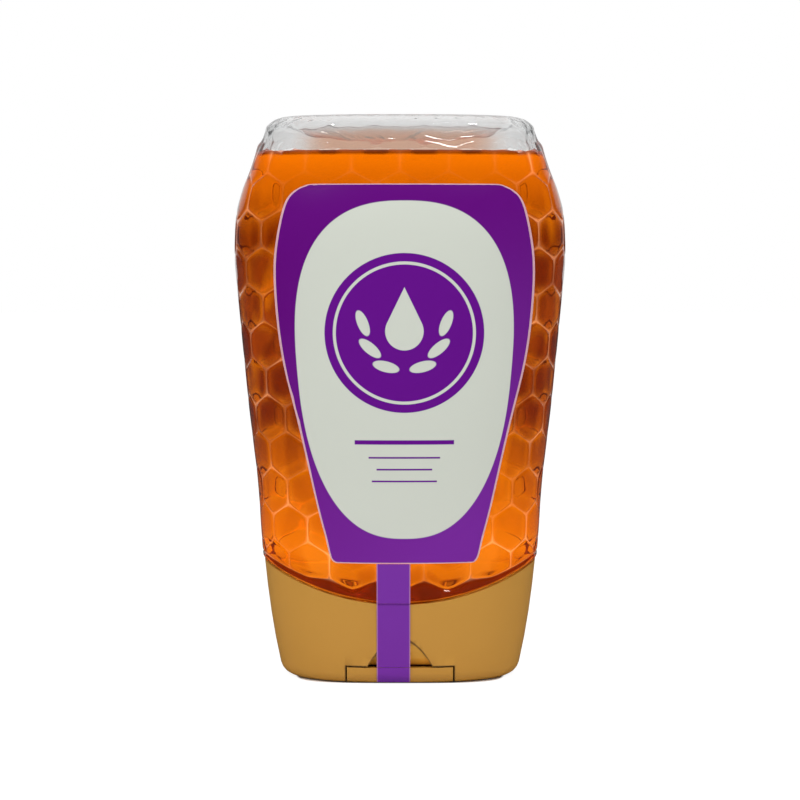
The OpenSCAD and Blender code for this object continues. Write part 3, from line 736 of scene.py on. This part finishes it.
def make_film(node, name, body, *materials):
    """Printed outside and white back; with a third material, a narrow border of it outside."""
    piece = merged(node, name)
    edit(piece, join_groove_quads, ANY_FACE)
    edit(piece, mark_back)
    if len(materials) > 2:
        edit(piece, inset_edge)
        edit(piece, crease_rims)
        subdivide(piece)
    smooth_faces(piece, FILM_ANGLE)
    finish_piece(piece, body, materials, node)


# Room, light and camera

def make_stage():
    bpy.ops.mesh.primitive_plane_add(size=FLOOR_SIZE, location=(0, 0, -FLOOR_DROP * MM))
    floor = bpy.context.object
    floor.name = "floor"
    f = Finish("pale_floor", Base_Color=FLOOR_GREY, Roughness=0.8)
    camera, glossy, through = f.rays("Camera", "Glossy", "Transmission")
    mirrored = glossy * (1 - through)
    strength = (1 - mirrored) * FLOOR_GLOW
    glow = f.make("ShaderNodeEmission", {}, {"Color": WHITE, "Strength": strength})
    x, y, z = f.place()
    reach = (x / CAP_FOOT_HALF_W) ** CAP_FOOT_POWER + (y / CAP_FOOT_HALF_D) ** CAP_FOOT_POWER
    seen = camera.most(through) * reach.past(1, 0.1) * FLOOR_SEEN
    share = seen.most(mirrored * FLOOR_MIRRORED)
    plain = Value(f, f.shader.outputs[0])
    mixed = f.make("ShaderNodeMixShader", {}, {0: share, 1: plain, 2: glow})
    f.tree.links.new(mixed.socket, f.tree.nodes["Material Output"].inputs["Surface"])
    floor.data.materials.append(f.material)


def make_world():
    """White to the camera and through glass, grey as light, and dark in front as a reflection."""
    world = bpy.data.worlds.new("studio")
    bpy.context.scene.world = world
    world.use_nodes = True
    t = Tree(world.node_tree)
    t.tree.nodes.clear()
    x, y, z = t.split(t.make("ShaderNodeTexCoord", {}, {}, "Generated"))
    camera, glossy, through = t.rays("Camera", "Glossy", "Transmission")
    flat = ((x * x + y * y) ** 0.5).most(0.001)
    backdrop = (abs(y) / flat).past(*BACKDROP_REACH) * (1 - SIDE_LEVEL) + SIDE_LEVEL
    behind = (y / flat).past(*BEHIND_REACH) * (BEHIND_LEVEL - FRONT_LEVEL) + FRONT_LEVEL
    level = (camera
             + (1 - camera) * through * backdrop
             + (1 - camera) * (1 - through) * glossy * behind
             + (1 - camera) * (1 - through) * (1 - glossy) * ROOM_LIGHT)
    light = t.make("ShaderNodeBackground", {}, {"Color": WHITE, "Strength": level})
    out = t.tree.nodes.new("ShaderNodeOutputWorld")
    t.tree.links.new(light.socket, out.inputs[0])


def aimed(name, data, place):
    """Puts a lamp or a camera at its place, turned towards the object."""
    holder = bpy.data.objects.new(name, data)
    bpy.context.scene.collection.objects.link(holder)
    holder.location = place
    aim = Vector((0, 0, AIM_HEIGHT)) - Vector(place)
    holder.rotation_euler = aim.to_track_quat("-Z", "Y").to_euler()
    return holder


def softbox(name, place, size, power):
    lamp = bpy.data.lights.new(name, "AREA")
    lamp.shape = "RECTANGLE"
    lamp.size, lamp.size_y = size
    lamp.energy = power
    aimed(name, lamp, place)


def make_camera():
    cam = bpy.data.cameras.new("photo_view")
    cam.sensor_width = SENSOR
    cam.lens = SENSOR * CAMERA_DISTANCE / FRAME_WIDTH
    cam.clip_start = NEAREST_SEEN
    bpy.context.scene.camera = aimed("photo_view", cam, (0, -CAMERA_DISTANCE, EYE_HEIGHT))


make_camera()
make_world()
for name, (place, size, power) in LAMPS.items():
    softbox(name, place, size, power)
make_stage()

make_bottle()
make_honey()
gold = gold_plastic()
make_moulding("cap", "cap_moulding", "cap_body", gold)
make_moulding("lid", "flip_lid", "lid_body", gold)
film_back = plain_finish("film_back", FILM_WHITE, 0.5)
strip = strip_print()
make_film("label", "front_label", "bottle_body", label_print(), film_back, film_edge())
make_film("seal_strip_bottle", "strip_on_bottle", "bottle_body", strip, film_back)
make_film("seal_strip_cap", "strip_on_cap", "cap_body", strip, film_back)
make_film("seal_strip_lid", "strip_on_lid", "lid_body", strip, film_back)

for node, material in (
        ("lid_hinge", gold),
        ("valve", plain_finish("valve_silicone", SILICONE, 0.45)),
        ("valve_retainer", plain_finish("retainer_plastic", RETAINER_WHITE, 0.35)),
        ("neck_washer", plain_finish("washer_foam", FOAM, 0.75, 0.5, 0.06))):
    mesh = nodes[node].data
    mesh.materials.clear()
    mesh.materials.append(material)

bpy.context.scene.view_settings.view_transform = "Standard"
